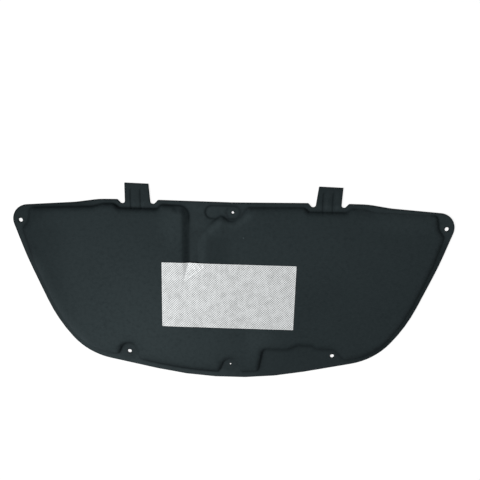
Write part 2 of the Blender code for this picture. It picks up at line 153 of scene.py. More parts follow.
@dataclass(frozen=True)
class ClosedLine:
    """A closed line in plan that runs anticlockwise, as points in metres."""

    points: np.ndarray

    @classmethod
    def from_corners(cls, corners: list[Corner], arc_step: float = math.radians(5.0)) -> "ClosedLine":
        """Rounds the corners of an outline with arcs.

        At each corner the arc touches both edges at radius times the tangent of half the turn.
        Where two arcs need more than the edge between them, both shrink by the same share.

        Args:
            corners: Corners (x, y, radius) in millimetres, anticlockwise.
            arc_step: The largest turn between two points of an arc, in radians.

        Returns:
            The rounded line.
        """
        table = np.array(corners, float) * MM
        spots, radii = table[:, :2], table[:, 2]
        before, after = np.roll(spots, 1, 0) - spots, np.roll(spots, -1, 0) - spots
        before_length, after_length = np.hypot(*before.T), np.hypot(*after.T)
        before, after = before / before_length[:, None], after / after_length[:, None]
        turns = math.pi - np.arccos(np.clip((before * after).sum(1), -1.0, 1.0))
        reach = radii * np.tan(turns / 2)
        room_before = before_length / np.maximum(reach + np.roll(reach, 1), 1e-9)
        room_after = after_length / np.maximum(reach + np.roll(reach, -1), 1e-9)
        share = np.minimum(1.0, np.minimum(room_before, room_after))
        signs = np.sign(after[:, 0] * before[:, 1] - after[:, 1] * before[:, 0])
        runs = []
        for spot, radius, back, on, turn, sign in zip(spots, radii * share, before, after, turns, signs):
            if radius <= 0 or turn < 0.005:
                runs.append(spot[None, :])
                continue
            middle = (back + on) / np.hypot(*(back + on))
            centre = spot + middle * radius / math.cos(turn / 2)
            start = spot + back * radius * math.tan(turn / 2) - centre
            angles = sign * np.linspace(0.0, turn, max(2, math.ceil(turn / arc_step)) + 1)
            cos, sin = np.cos(angles), np.sin(angles)
            arc = np.column_stack([start[0] * cos - start[1] * sin, start[0] * sin + start[1] * cos])
            runs.append(centre + arc)
        points = np.vstack(runs)
        apart = np.hypot(*(points - np.roll(points, 1, 0)).T) > 0.2 * MM
        return cls(points[apart])

    @classmethod
    def circle(cls, x: float, y: float, radius: float, sides: int) -> "ClosedLine":
        """A circle round a point, anticlockwise, all in metres."""
        angles = np.arange(sides) * 2 * math.pi / sides
        return cls(np.column_stack([x + radius * np.cos(angles), y + radius * np.sin(angles)]))

    @classmethod
    def stadium(cls, low: Pair, high: Pair, arc_step: float) -> "ClosedLine":
        """A box with fully rounded short ends.

        Args:
            low: The low corner in x and y, in millimetres.
            high: The high corner.
            arc_step: The largest turn between two points of an arc, in radians.

        Returns:
            The closed line.
        """
        (x0, y0), (x1, y1) = low, high
        half = min(x1 - x0, y1 - y0) / 2
        return cls.from_corners([(x0, y0, half), (x1, y0, half), (x1, y1, half), (x0, y1, half)], arc_step)

    def evenly(self, step: float) -> "ClosedLine":
        """The same line with points at an even spacing.

        Args:
            step: About how far apart the points lie, in metres.

        Returns:
            The line resampled by its arc length.
        """
        closed = np.vstack([self.points, self.points[:1]])
        walked = np.concatenate([[0.0], np.cumsum(np.hypot(*np.diff(closed, axis=0).T))])
        count = max(8, round(walked[-1] / step))
        places = np.arange(count) * walked[-1] / count
        return ClosedLine(np.column_stack([np.interp(places, walked, closed[:, axis]) for axis in (0, 1)]))

    def inward(self) -> np.ndarray:
        """Unit normals at the points, to the left of the line: towards the inside."""
        run = np.roll(self.points, -1, 0) - np.roll(self.points, 1, 0)
        return np.column_stack([-run[:, 1], run[:, 0]]) / np.hypot(*run.T)[:, None]

    def shifted(self, distance: float) -> np.ndarray:
        """The points moved inwards by a distance; a negative distance moves them outwards."""
        return self.points + self.inward() * distance

    def distance(self, places: np.ndarray) -> np.ndarray:
        """Distance to the line's nearest segment, positive inside by the even-odd rule.

        Args:
            places: Points in plan, one in each row.

        Returns:
            One signed distance for each place, in metres.
        """
        start, end = self.points, np.roll(self.points, -1, 0)
        run = end - start
        length2 = (run ** 2).sum(1)
        lean = run[:, 0] / np.where(run[:, 1] == 0, 1e-12, run[:, 1])
        found = []
        for first in range(0, len(places), CHUNK):
            x, y = places[first:first + CHUNK, 0, None], places[first:first + CHUNK, 1, None]
            dx, dy = x - start[:, 0], y - start[:, 1]
            share = np.clip((dx * run[:, 0] + dy * run[:, 1]) / length2, 0.0, 1.0)
            near = np.sqrt(((dx - share * run[:, 0]) ** 2 + (dy - share * run[:, 1]) ** 2).min(1))
            crossed = ((start[:, 1] > y) != (end[:, 1] > y)) & (dx < dy * lean)
            found.append(np.where(crossed.sum(1) % 2 == 1, near, -near))
        return np.concatenate(found)


@dataclass(frozen=True)
class Waves:
    """A soft unevenness: the sum of many plane waves with seeded directions, lengths and phases."""

    height: float
    seed: int
    shortest: float
    longest: float
    count: int = 40

    def at(self, places: np.ndarray) -> np.ndarray:
        """The waves at places in plan.

        Args:
            places: Points in plan, one in each row.

        Returns:
            The sum of sines, scaled so that its spread is about one half of the height.
        """
        dice = np.random.default_rng(self.seed)
        heading = dice.uniform(0, 2 * math.pi, self.count)
        length = np.exp(dice.uniform(math.log(self.shortest), math.log(self.longest), self.count))
        phase = dice.uniform(0, 2 * math.pi, self.count)
        pull = 2 * math.pi / length
        total = np.zeros(len(places))
        for turn, number, shift in zip(heading, pull, phase):
            total += np.sin((places[:, 0] * math.cos(turn) + places[:, 1] * math.sin(turn)) * number + shift)
        return self.height * (total / math.sqrt(2 * self.count))


def fill(loops: list[np.ndarray], holes: list[ClosedLine], inner: np.ndarray) -> np.ndarray:
    """Fills the area between closed loops with triangles on a set of inner points.

    Args:
        loops: The outer loop and then the loop of each hole, as points in plan.
        holes: The holes as lines, for leaving out the triangles that lie in them.
        inner: Further points between the loops.

    Returns:
        Triangles as indices into the loops' points, in their order, followed by the inner points.
    """
    edges, first = [], 0
    for loop in loops:
        ids = np.arange(len(loop)) + first
        edges.append(np.column_stack([ids, np.roll(ids, -1)]))
        first += len(loop)
    points = np.vstack(loops + [inner])
    made = delaunay_2d_cdt(points.tolist(), np.vstack(edges).tolist(), [], 1, 1e-9)
    triangles = np.array(made[2])
    if len(made[0]) != len(points):
        raise ValueError(f"the fill made {len(made[0])} points from {len(points)}")
    middles = points[triangles].mean(1)
    solid = np.ones(len(triangles), bool)
    for hole in holes:
        solid &= hole.distance(middles) < 0
    return triangles[solid]


def hexagonal(low: np.ndarray, high: np.ndarray, step: float) -> np.ndarray:
    """Points on a grid of even triangles that covers a box in plan.

    Args:
        low: The box's low corner.
        high: The box's high corner.
        step: The distance between neighbours, in metres.

    Returns:
        The points, one in each row; every second row is shifted by half a step.
    """
    rows = np.arange(low[1], high[1], step * math.sqrt(3) / 2)
    columns = np.arange(low[0], high[0], step)
    x, y = np.meshgrid(columns, rows)
    x[1::2] += step / 2
    return np.column_stack([x.ravel(), y.ravel()])


def put(name: str, data: bpy.types.ID) -> bpy.types.Object:
    """Makes an object and links it to the scene.

    Args:
        name: The object's name.
        data: Its mesh, lamp or camera.

    Returns:
        The new object.
    """
    made = bpy.data.objects.new(name, data)
    bpy.context.scene.collection.objects.link(made)
    return made


def make_object(name: str, points: np.ndarray, faces: list[np.ndarray], sharp: float) -> bpy.types.Object:
    """Puts computed arrays into a mesh object whose faces point outwards.

    Args:
        name: The object's name.
        points: Vertices, one in each row.
        faces: Arrays of faces, each with its own number of corners.
        sharp: The angle between faces, in radians, above which an edge stays sharp.

    Returns:
        The new object, linked to the scene.
    """
    mesh = bpy.data.meshes.new(name)
    corners = np.concatenate([block.ravel() for block in faces])
    sizes = np.concatenate([np.full(len(block), block.shape[1]) for block in faces])
    mesh.vertices.add(len(points))
    mesh.vertices.foreach_set("co", points.astype(np.float32).ravel())
    mesh.loops.add(len(corners))
    mesh.loops.foreach_set("vertex_index", corners.astype(np.int32))
    mesh.polygons.add(len(sizes))
    mesh.polygons.foreach_set("loop_start", (np.cumsum(sizes) - sizes).astype(np.int32))
    mesh.update(calc_edges=True)
    work = bmesh.new()
    work.from_mesh(mesh)
    bmesh.ops.recalc_face_normals(work, faces=work.faces)
    work.to_mesh(mesh)
    work.free()
    mesh.shade_smooth()
    mesh.set_sharp_from_angle(angle=sharp)
    return put(name, mesh)


def paint(thing: bpy.types.Object, name: str, values: np.ndarray) -> None:
    """Stores one number for each vertex, for the finish to read.

    Args:
        thing: The mesh object.
        name: The attribute's name.
        values: One number for each vertex.
    """
    layer = thing.data.attributes.new(name, "FLOAT", "POINT")
    layer.data.foreach_set("value", values.astype(np.float32))


# ---- Finishes ----


class Value:
    """A number or colour that changes over a surface: a node's output with arithmetic."""

    def __init__(self, graph: "Graph", socket: bpy.types.NodeSocket) -> None:
        """Keeps the graph and the socket."""
        self.graph = graph
        self.socket = socket

    def _maths(self, operation: str, *terms: Input) -> "Value":
        """Adds a Math node on the given terms."""
        return self.graph.node("ShaderNodeMath", {"operation": operation}, dict(enumerate(terms)))

    def __add__(self, other: Input) -> "Value":
        """Sum."""
        return self._maths("ADD", self, other)

    def __radd__(self, other: Input) -> "Value":
        """Sum with the number first."""
        return self._maths("ADD", other, self)

    def __sub__(self, other: Input) -> "Value":
        """Difference."""
        return self._maths("SUBTRACT", self, other)

    def __rsub__(self, other: Input) -> "Value":
        """Difference with the number first."""
        return self._maths("SUBTRACT", other, self)

    def __mul__(self, other: Input) -> "Value":
        """Product."""
        return self._maths("MULTIPLY", self, other)

    def __rmul__(self, other: Input) -> "Value":
        """Product with the number first."""
        return self._maths("MULTIPLY", other, self)

    def cosine(self) -> "Value":
        """The cosine of an angle in radians."""
        return self._maths("COSINE", self)

    def largest(self, other: Input) -> "Value":
        """The larger of two values."""
        return self._maths("MAXIMUM", self, other)

    def eased(self, low: float, high: float) -> "Value":
        """Eases from 0 at low to 1 at high; low may be the larger one."""
        settings = {"interpolation_type": "SMOOTHSTEP"}
        if low < high:
            return self.graph.node("ShaderNodeMapRange", settings, {0: self, 1: low, 2: high})
        return 1.0 - self.graph.node("ShaderNodeMapRange", settings, {0: self, 1: high, 2: low})


class Graph:
    """The node tree of a material or of the world, emptied but for its output."""

    def __init__(self, owner: bpy.types.ID, output: str = "ShaderNodeOutputMaterial") -> None:
        """Empties the owner's tree and adds the output.

        Args:
            owner: The material or world.
            output: The output node's type.
        """
        owner.use_nodes = True
        self.tree = owner.node_tree
        self.tree.nodes.clear()
        self.output = self.tree.nodes.new(output)

    def node(
        self,
        kind: str,
        settings: Optional[dict[str, Any]] = None,
        inputs: Optional[dict[Union[int, str], Input]] = None,
        result: Union[int, str] = 0,
    ) -> Value:
        """Adds any node.

        Args:
            kind: The node's type.
            settings: Its own settings, such as a Math node's operation; they are set first.
            inputs: Its sockets' values or links, by name or number.
            result: The output that is returned, by name or number.

        Returns:
            That output as a value.
        """
        made = self.tree.nodes.new(kind)
        for key, setting in (settings or {}).items():
            setattr(made, key, setting)
        for key, given in (inputs or {}).items():
            socket = made.inputs[key]
            if isinstance(given, Value):
                self.tree.links.new(given.socket, socket)
            elif isinstance(given, tuple) and socket.type == "RGBA":
                socket.default_value = (*given[:3], 1.0)
            else:
                socket.default_value = given
        return Value(self, made.outputs[result])

    def blend(self, factor: Input, first: Input, second: Input, kind: str = "MIX") -> Value:
        """Mixes two colours by a factor; kind is the Mix node's blend type."""
        settings = {"data_type": "RGBA", "blend_type": kind}
        return self.node("ShaderNodeMix", settings, {0: factor, 6: first, 7: second}, 2)

    def attribute(self, name: str) -> Value:
        """The numbers that a mesh stores for its vertices under a name."""
        return self.node("ShaderNodeAttribute", {"attribute_name": name}, result="Fac")

    def noise(self, where: Value, scale: float, detail: float = 2.0, roughness: float = 0.5) -> Value:
        """A noise from 0 to 1 at a scale in features for each metre."""
        inputs = {"Vector": where, "Scale": scale, "Detail": detail, "Roughness": roughness}
        return self.node("ShaderNodeTexNoise", {}, inputs, "Fac")

    def stretched(self, where: Value, turn: float, scale: Vector) -> Value:
        """Coordinates turned about Z by an angle and scaled on each axis."""
        inputs = {"Vector": where, "Rotation": (0.0, 0.0, turn), "Scale": scale}
        return self.node("ShaderNodeMapping", {"vector_type": "POINT"}, inputs)

    def finish(self, shader: Value) -> None:
        """Links a shader to the surface output."""
        self.tree.links.new(shader.socket, self.output.inputs["Surface"])


@dataclass(frozen=True)
class FeltFinish:
    """Pressed needled felt: matt, charcoal with a blue-green cast, fibrous and softly mottled."""

    open_colour: Colour = (0.0204, 0.0284, 0.0308)
    # Painted light: the lighter colour where more light falls on the felt.
    painted_light_colour: Colour = (0.0338, 0.0455, 0.0486)
    # Darker colour for denser felt in mottles, clouds and on steep slopes, where it is also painted shade.
    dense_and_shade_colour: Colour = (0.0110, 0.0165, 0.0185)
    # Painted shade colour: creases, hollows, cut edges and shaded parts.
    painted_shade_colour: Colour = (0.0034, 0.0060, 0.0070)
    fibre_colour: Colour = (0.0370, 0.0490, 0.0530)
    lint_colour: Colour = (0.110, 0.140, 0.150)
    roughness: float = 0.92
    pressed_gloss: float = 0.14
    gloss_level: float = 0.05
    fibre_width: float = 0.0004
    fibre_length: float = 0.0045
    fibre_headings: tuple[float, ...] = (0.35, 1.45, 2.50)
    fibre_scale: float = 0.55
    fibre_levels: Pair = (0.52, 0.78)
    fibre_share: float = 0.28
    mottle: float = 0.011
    mottle_share: float = 1.50
    cloud: float = 0.16
    cloud_share: float = 0.45
    # The share of steepness that darkens the felt, partly as painted shade.
    steep_share: float = 0.45
    dense_and_shade_levels: Pair = (-0.30, 1.20)
    # How strongly the painted shade darkens the felt.
    painted_shade_share: float = 0.9
    lint_place: Vector = (0.031, 0.144, 0.0125)
    lint_radius: float = 0.0020
    lint_core: float = 0.35
    lint_share: float = 0.5
    fibre_relief: float = 0.6
    mottle_relief: float = 0.8
    bump_strength: float = 0.55
    bump_height: float = 0.0005

    def fibres(self, graph: Graph, where: Value) -> Value:
        """Short crossing fibres: the largest of three noises stretched along different headings.

        Args:
            graph: The material's graph.
            where: Object coordinates.

        Returns:
            A value from 0 to 1, high on a fibre.
        """
        across, along = 1.0 / self.fibre_width, 1.0 / self.fibre_length
        found: Optional[Value] = None
        for turn in self.fibre_headings:
            lane = graph.stretched(where, turn, (along, across, across))
            lane = graph.noise(lane, self.fibre_scale, detail=1.0)
            found = lane if found is None else found.largest(lane)
        return found.eased(*self.fibre_levels)

    def material(self) -> bpy.types.Material:
        """Builds the felt's material.

        The colour goes from open felt towards a darker one where the surface is steep, which stands for
        denser felt and painted shade, with mottles and slow clouds in it. It has painted light where more
        light falls and painted shade in the creases and hollows, with lighter fibres over it and one pale
        bit of lint. The relief of fibres and mottles is a bump.

        Returns:
            The material.
        """
        made = bpy.data.materials.new("felt")
        graph = Graph(made)
        where = graph.node("ShaderNodeTexCoord", result="Object")
        fibres = self.fibres(graph, where)
        mottle = graph.noise(where, 1.0 / self.mottle, detail=4.0, roughness=0.6)
        cloud = graph.noise(where, 1.0 / self.cloud)
        # Steep slopes darken towards the dense colour, denser felt and painted shade; mottles and clouds vary
        # it.
        dense_and_shade = self.steep_share * graph.attribute("steep")
        dense_and_shade = dense_and_shade + self.mottle_share * (mottle - 0.5) + self.cloud_share * (cloud - 0.5)
        # Painted light: lighter where more light falls.
        base = graph.blend(graph.attribute("painted_light"), self.open_colour, self.painted_light_colour)
        base = graph.blend(dense_and_shade.eased(*self.dense_and_shade_levels), base, self.dense_and_shade_colour)
        base = graph.blend(self.fibre_share * fibres, base, self.fibre_colour)
        # Painted shade in the creases and hollows, on the cut edges and over the shaded parts.
        base = graph.blend(self.painted_shade_share * graph.attribute("painted_shade"), base, self.painted_shade_colour)
        ends = {0: where, 1: self.lint_place}
        apart = graph.node("ShaderNodeVectorMath", {"operation": "DISTANCE"}, ends, "Value")
        lint = apart.eased(self.lint_radius, self.lint_core * self.lint_radius)
        base = graph.blend(self.lint_share * lint, base, self.lint_colour)
        relief = self.fibre_relief * fibres + self.mottle_relief * mottle
        inputs = {"Strength": self.bump_strength, "Distance": self.bump_height, "Height": relief}
        normal = graph.node("ShaderNodeBump", {}, inputs)
        surface = {
            "Base Color": base,
            "Roughness": self.roughness - self.pressed_gloss * graph.attribute("pressed"),
            "Normal": normal,
            "Specular IOR Level": self.gloss_level,
        }
        graph.finish(graph.node("ShaderNodeBsdfPrincipled", {}, surface))
        return made


@dataclass(frozen=True)
class FoilFinish:
    """Aluminised cloth with a fine staggered emboss, dull in its pits."""

    metal_colour: Colour = (0.71, 0.728, 0.732)
    # Painted shade colour for the pits of the weave.
    pit_shade_colour: Colour = (0.05, 0.054, 0.056)
    dull_colour: Colour = (0.58, 0.595, 0.595)
    repeat: float = 0.0069
    lead: float = 0.66
    roughness: float = 0.48
    pit_roughness: float = 0.25
    metallic: float = 0.55
    mottle: float = 0.018
    dull_levels: Pair = (0.35, 0.75)
    pit_levels: Pair = (-0.05, -0.85)
    rim_calm: float = 0.7

    def weave(self, across: Any, along: Any, cosine: Callable[[Any], Any]) -> Any:
        """The emboss: a mix of the cosines of the difference and of the sum of both sides' angles.

        The angles make one turn for each repeat, so the low points are pits that run together along the
        leading diagonal.

        Args:
            across: Metres along the foil's width, as an array or as a Value.
            along: Metres along its depth, of the same kind.
            cosine: The cosine for that kind.

        Returns:
            The height of the emboss from -1 to 1, of the same kind.
        """
        rate = 2 * math.pi / self.repeat
        turn, other = across * rate, along * rate
        return self.lead * cosine(turn - other) + (1.0 - self.lead) * cosine(turn + other)

    def material(self) -> bpy.types.Material:
        """Builds the foil's material from its own map, which holds metres along its two sides.

        The pits of the weave are dull and darkened with painted shade, fainter at the foil's rim, and the
        metal is softly mottled.

        Returns:
            The material.
        """
        made = bpy.data.materials.new("foil")
        graph = Graph(made)
        plan = graph.node("ShaderNodeUVMap", {"uv_map": "foil_plan"})
        across, along = (graph.node("ShaderNodeSeparateXYZ", {}, {0: plan}, axis) for axis in (0, 1))
        pit = self.weave(across, along, Value.cosine).eased(*self.pit_levels)
        pit = pit * (1.0 - self.rim_calm * graph.attribute("rim"))
        where = graph.node("ShaderNodeTexCoord", result="Object")
        mottle = graph.noise(where, 1.0 / self.mottle, detail=3.0, roughness=0.6)
        base = graph.blend(mottle.eased(*self.dull_levels), self.metal_colour, self.dull_colour)
        # Painted shade in the pits of the weave.
        base = graph.blend(pit, base, self.pit_shade_colour)
        surface = {
            "Base Color": base,
            "Roughness": self.roughness + self.pit_roughness * pit,
            "Metallic": self.metallic,
        }
        graph.finish(graph.node("ShaderNodeBsdfPrincipled", {}, surface))
        return made


@dataclass(frozen=True)
class PaperFinish:
    """The white sheet under the object, seen white by the camera and in mirrors, with soft shade on it."""

    colour: Colour = (0.90, 0.90, 0.90)
    glow: float = 0.86
    shade_share: float = 0.20

    def material(self) -> bpy.types.Material:
        """Builds the floor's material: plain white for the light, and white plus its own shade when seen.

        Returns:
            The material.
        """
        made = bpy.data.materials.new("white_paper")
        graph = Graph(made)
        plain = graph.node("ShaderNodeBsdfDiffuse", {}, {"Color": self.colour})
        level = tuple(self.shade_share * part for part in self.colour)
        shade = graph.node("ShaderNodeBsdfDiffuse", {}, {"Color": level})
        white = graph.node("ShaderNodeEmission", {}, {"Color": (1.0, 1.0, 1.0), "Strength": self.glow})
        seen = graph.node("ShaderNodeAddShader", {}, {0: shade, 1: white})
        graph.finish(graph.node("ShaderNodeMixShader", {}, {0: seen_rays(graph), 1: plain, 2: seen}))
        return made


def seen_rays(graph: Graph) -> Value:
    """A mask for what the camera sees, straight, in a mirror or through glass.

    Args:
        graph: The graph of the material or of the world.

    Returns:
        A value that is 1 for such rays and 0 for all others.
    """
    straight = graph.node("ShaderNodeLightPath", result="Is Camera Ray")
    mirrored = graph.node("ShaderNodeLightPath", result="Is Glossy Ray")
    through = graph.node("ShaderNodeLightPath", result="Is Transmission Ray")
    return straight.largest(mirrored).largest(through)


# ---- The felt ----


@dataclass
class PadLines:
    """The pad's lines in plan, as corners (x, y, radius) in millimetres; the outline's halves mirror.

    Each clip hole is given by its middle and its diameter.
    """

    outline_half: tuple[Corner, ...] = (
        (424.9, -222.7, 192.0), (510.0, -117.2, 437.0), (583.6, 71.5, 942.0), (628.8, 220.5, 44.0),
        (435.7, 234.5, 200.0), (371.4, 244.1, 200.0), (319.3, 244.7, 4.0), (309.1, 233.6, 6.0),
        (298.8, 233.6, 7.0), (300.8, 291.0, 2.0), (232.5, 291.0, 2.0), (228.0, 233.6, 7.0),
        (217.7, 233.6, 6.0), (207.5, 244.7, 4.0),
    )
    outline_front: Corner = (0.0, -315.0, 1030.0)
    outline_rear: Corner = (0.0, 242.0, 0.0)
    field_side: tuple[Corner, ...] = (
        (417.7, -211.0, 179.0), (498.6, -110.6, 424.0), (571.3, 75.8, 929.0), (588.5, 157.0, 14.0),
        (571.5, 178.0, 32.0), (563.5, 217.5, 14.0),
    )
    field_rear: tuple[Corner, ...] = (
        (390.0, 223.5, 28.0), (358.0, 232.2, 14.0), (328.8, 232.2, 14.0), (313.3, 220.5, 14.0),
        (207.5, 220.5, 14.0), (199.5, 232.2, 14.0),
    )
    channel: tuple[Corner, ...] = (
        (41.0, 229.5, 14.0), (23.0, 202.8, 20.0), (3.0, 189.8, 16.0), (-10.0, 189.8, 8.0),
        (-30.0, 205.0, 11.0), (-50.0, 192.0, 30.0), (-97.0, 140.0, 60.0), (-97.0, 66.0, 30.0),
        (-131.0, 8.0, 3.0), (-122.4, 66.0, 30.0), (-122.4, 229.5, 28.0),
    )
    left_seat: tuple[Corner, ...] = (
        (-333.0, -223.7, 14.0), (-317.0, -186.0, 32.0), (-285.0, -186.0, 32.0), (-269.0, -237.6, 14.0),
        (-209.0, -250.6, 0.0), (-150.5, -260.9, 0.0), (-92.0, -267.9, 0.0),
    )
    middle_seat: tuple[Corner, ...] = (
        (-32.0, -271.5, 14.0), (-16.0, -229.0, 32.0), (16.0, -229.0, 32.0), (32.0, -271.5, 14.0),
    )
    front_pocket: tuple[Corner, ...] = (
        (84.0, -268.1, 14.0), (96.0, -195.0, 14.0), (169.0, -195.0, 15.0), (199.0, -180.0, 15.0),
        (240.0, -180.0, 15.0), (255.0, -190.0, 15.0), (305.0, -190.0, 32.0), (337.0, -222.8, 14.0),
    )
    clip_pocket: tuple[Pair, Pair] = ((-77.0, 194.8), (21.0, 232.8))
    holes: tuple[Corner, ...] = (
        (-593.5, 180.0, 11.2), (0.0, 213.8, 6.5), (593.5, 180.0, 11.2), (-301.0, -213.0, 11.2),
        (0.0, -247.5, 4.8), (301.0, -213.0, 11.2),
    )
    groove_places: tuple[float, ...] = (-280.5, -253.5, 249.9, 276.9)
    groove_width: float = 9.0
    groove_low: float = 211.5
    groove_high: float = 275.0
    field_arc: float = math.radians(9.0)
    pocket_arc: float = math.radians(12.0)
    groove_arc: float = math.radians(20.0)

    def mirrored(self, corners: tuple[Corner, ...]) -> list[Corner]:
        """The corners on the left half, in the order that goes on round the line."""
        return [(-x, y, radius) for x, y, radius in reversed(corners)]

    def outline(self) -> ClosedLine:
        """The pad's cut edge."""
        right = [self.outline_front] + list(self.outline_half) + [self.outline_rear]
        return ClosedLine.from_corners(right + self.mirrored(self.outline_half))

    def fields(self) -> ClosedLine:
        """The foot of the thick fields: one line with the channel cut into it from the rear."""
        right = self.middle_seat + self.front_pocket + self.field_side + self.field_rear + self.channel
        left = self.mirrored(self.field_rear) + self.mirrored(self.field_side) + list(self.left_seat)
        return ClosedLine.from_corners(list(right) + left, self.field_arc)

    def pocket(self) -> ClosedLine:
        """The oblong pocket round the rear hole in the middle."""
        return ClosedLine.stadium(*self.clip_pocket, self.pocket_arc)

    def grooves(self) -> list[ClosedLine]:
        """The two pressed grooves of each tab."""
        half = self.groove_width / 2
        boxes = [((x - half, self.groove_low), (x + half, self.groove_high)) for x in self.groove_places]
        return [ClosedLine.stadium(low, high, self.groove_arc) for low, high in boxes]

    def hole_lines(self, sides: int) -> list[ClosedLine]:
        """The six clip holes as circles."""
        return [ClosedLine.circle(x * MM, y * MM, size / 2 * MM, sides) for x, y, size in self.holes]

    def from_hole(self, number: int, places: np.ndarray, shift: float = 0.0) -> np.ndarray:
        """Distance of places in plan from a hole's middle, or from a point shifted from it along Y."""
        x, y, _ = self.holes[number]
        return np.hypot(places[:, 0] - x * MM, places[:, 1] - y * MM - shift)


@dataclass
class FeltPad:
    """The moulded felt as one closed shell: a shaped top, cut edges and a flat underside."""

    finish: FeltFinish = field(default_factory=FeltFinish)
    lines: PadLines = field(default_factory=PadLines)

    # The shape: heights, unevenness, and the shoulder with its other widths at the channel's left wall, on
    # the slope to the channel and on the soft sides.
    rim: float = 0.0035
    thickness: float = 0.0120
    hollow: float = 0.0015
    crown: float = 0.0006
    crown_run: float = 0.110
    shoulder: float = 0.0150
    wide_shoulders: Vector = (0.0205, 0.0400, 0.0280)
    bulge: float = 1.8
    wall_bend: float = 0.6
    foot_round: float = 0.0007
    pocket_edge: Pair = (-0.0025, 0.0035)
    groove_edge: Pair = (-0.0016, 0.0040)
    swell: Waves = Waves(0.00035, 11, 0.090, 0.260)
    dimples: Waves = Waves(0.00012, 23, 0.014, 0.040, 60)
    nap: Waves = Waves(0.00010, 5, 0.012, 0.050, 50)
    channel_wall: Window = Window(
        left=(-0.175, -0.155), right=(-0.108, -0.114), front=(-0.020, 0.030), rear=(0.240, 0.222)
    )
    channel_slope: Window = Window(
        left=(-0.112, -0.106), right=(0.075, 0.045), front=(0.030, 0.075), rear=(0.232, 0.205), lean=0.15
    )
    soft_sides: tuple[Window, ...] = (
        Window(right=(-0.38, -0.46), rear=(0.105, 0.040)),
        Window(left=(0.325, 0.365), right=(0.560, 0.535), front=(0.160, 0.190)),
    )

    # The painted shade in the creases: along the fields' foot, by three tables, and at the walls that are
    # pressed in.
    crease_middle: float = 0.0004
    crease_inner: float = 0.0060
    crease_outer: float = 0.0046
    longer_inner: tuple[Window, ...] = (
        Window(share=0.6, rear=(-0.140, -0.180)), Window(share=0.4, right=(-0.50, -0.54))
    )
    wider_outer: Window = Window(share=0.8, left=(0.080, 0.110), rear=(-0.140, -0.180))
    rear_part: Window = Window(front=(0.170, 0.200))
    front_part: Window = Window(rear=(-0.140, -0.180))
    crease_side: Table = ((-0.50, 1.00), (-0.30, 0.48), (0.05, 0.48), (0.30, 0.18))
    crease_rear: Table = (
        (-0.62, 0.80), (-0.53, 1.00), (-0.45, 0.90), (-0.33, 1.00), (-0.14, 1.00), (-0.06, 0.90),
        (0.02, 0.50), (0.19, 0.50), (0.22, 0.65), (0.31, 0.65), (0.34, 0.30), (0.37, 0.10),
        (0.50, 0.10), (0.56, 0.45),
    )
    crease_front: Table = (
        (-0.45, 0.25), (-0.34, 0.35), (-0.30, 0.60), (-0.23, 0.90), (-0.145, 1.00), (-0.036, 1.00),
        (-0.026, 0.20), (0.026, 0.20), (0.036, 0.75), (0.07, 0.55), (0.20, 0.62), (0.32, 0.55),
    )
    faint_slope: Window = Window(share=0.60, rear=(0.190, 0.165))
    faint_side: float = 0.9
    faint_spots: tuple[Spot, ...] = ((0.60, -0.277, -0.215, 0.013, 0.028),)
    crease_pocket: float = 0.65
    pocket_bell: Pair = (0.0005, 0.0036)
    crease_groove: float = 0.20
    crease_ring: float = 0.40
    ring_bell: Pair = (0.0185, 0.0030)

    # The painted light: spots, a painted highlight in a band up the slope, one on a strip of the front rim,
    # and painted highlights in lines on the right tab.
    painted_light_spots: tuple[Spot, ...] = (
        (0.80, -0.250, -0.170, 0.270, 0.270),
        (0.30, 0.050, 0.110, 0.300, 0.110),
        (0.60, -0.165, 0.165, 0.045, 0.080),
        (0.60, 0.075, -0.165, 0.055, 0.075),
        (0.35, -0.070, 0.220, 0.070, 0.028),
        (0.42, -0.095, 0.180, 0.030, 0.030),
        (0.30, 0.470, 0.195, 0.130, 0.035),
    )
    band_share: float = 0.50
    band_bell: Pair = (0.013, 0.009)
    band_front: float = 0.10
    band_rear: Window = Window(share=0.90, front=(0.115, 0.165))
    strip_edge: Pair = (-0.003, -0.006)
    strip_part: Window = Window(share=0.7, rear=(-0.20, -0.23))
    strip_bell: Pair = (-0.07, 0.09)
    tab_part: Window = Window(share=0.45, front=(0.215, 0.235), rear=(0.286, 0.268))
    tab_lines: tuple[float, ...] = (0.2585, 0.2865)
    tab_line_reach: float = 0.005

    # The shade: on the tabs, the left side and the level beyond the slope, at the left rear hole, and on
    # parts of the rim, of the wide pocket's floor and of two seats.
    shaded_parts: tuple[Window, ...] = (
        Window(share=0.26, front=(0.234, 0.246)),
        Window(share=0.26, right=(-0.43, -0.54), rear=(0.20, 0.15)),
        Window(
            share=0.20, left=(-0.080, -0.068), right=(0.010, -0.030),
            front=(-0.10, -0.05), rear=(0.160, 0.130),
        ),
    )
    shaded_spots: tuple[Spot, ...] = ((0.50, -0.62, 0.21, 0.11, 0.07),)
    shaded_rim: tuple[Window, ...] = (
        Window(share=0.50, right=(-0.35, -0.43), front=(0.185, 0.205)),
        Window(share=0.42, left=(0.34, 0.40), rear=(0.160, 0.120)),
    )
    rim_edge: Pair = (0.003, -0.003)
    shaded_floor: Window = Window(share=0.18, left=(0.07, 0.09), rear=(-0.16, -0.18))
    floor_edge: Pair = (0.002, -0.004)
    shaded_seats: tuple[tuple[int, float], ...] = ((3, 0.25), (4, 0.22))
    seat_edge: Pair = (0.038, 0.020)
    seat_shift: float = 0.004

    # The dark cut edges: even at the front, by a table at the rear, with a least value at the left end.
    cut_front: float = 0.15
    cut_rear: Table = (
        (-0.62, 0.50), (-0.59, 0.95), (-0.32, 0.90), (-0.29, 0.35), (0.36, 0.30), (0.40, 0.85),
        (0.52, 0.70), (0.60, 0.35),
    )
    cut_rear_from: float = 0.19
    cut_left: float = 0.6
    cut_left_from: Pair = (-0.5, 0.08)
    cut_hole: float = 0.5
    cut_hole_radius: float = 0.009
    cut_reach: float = 0.0025

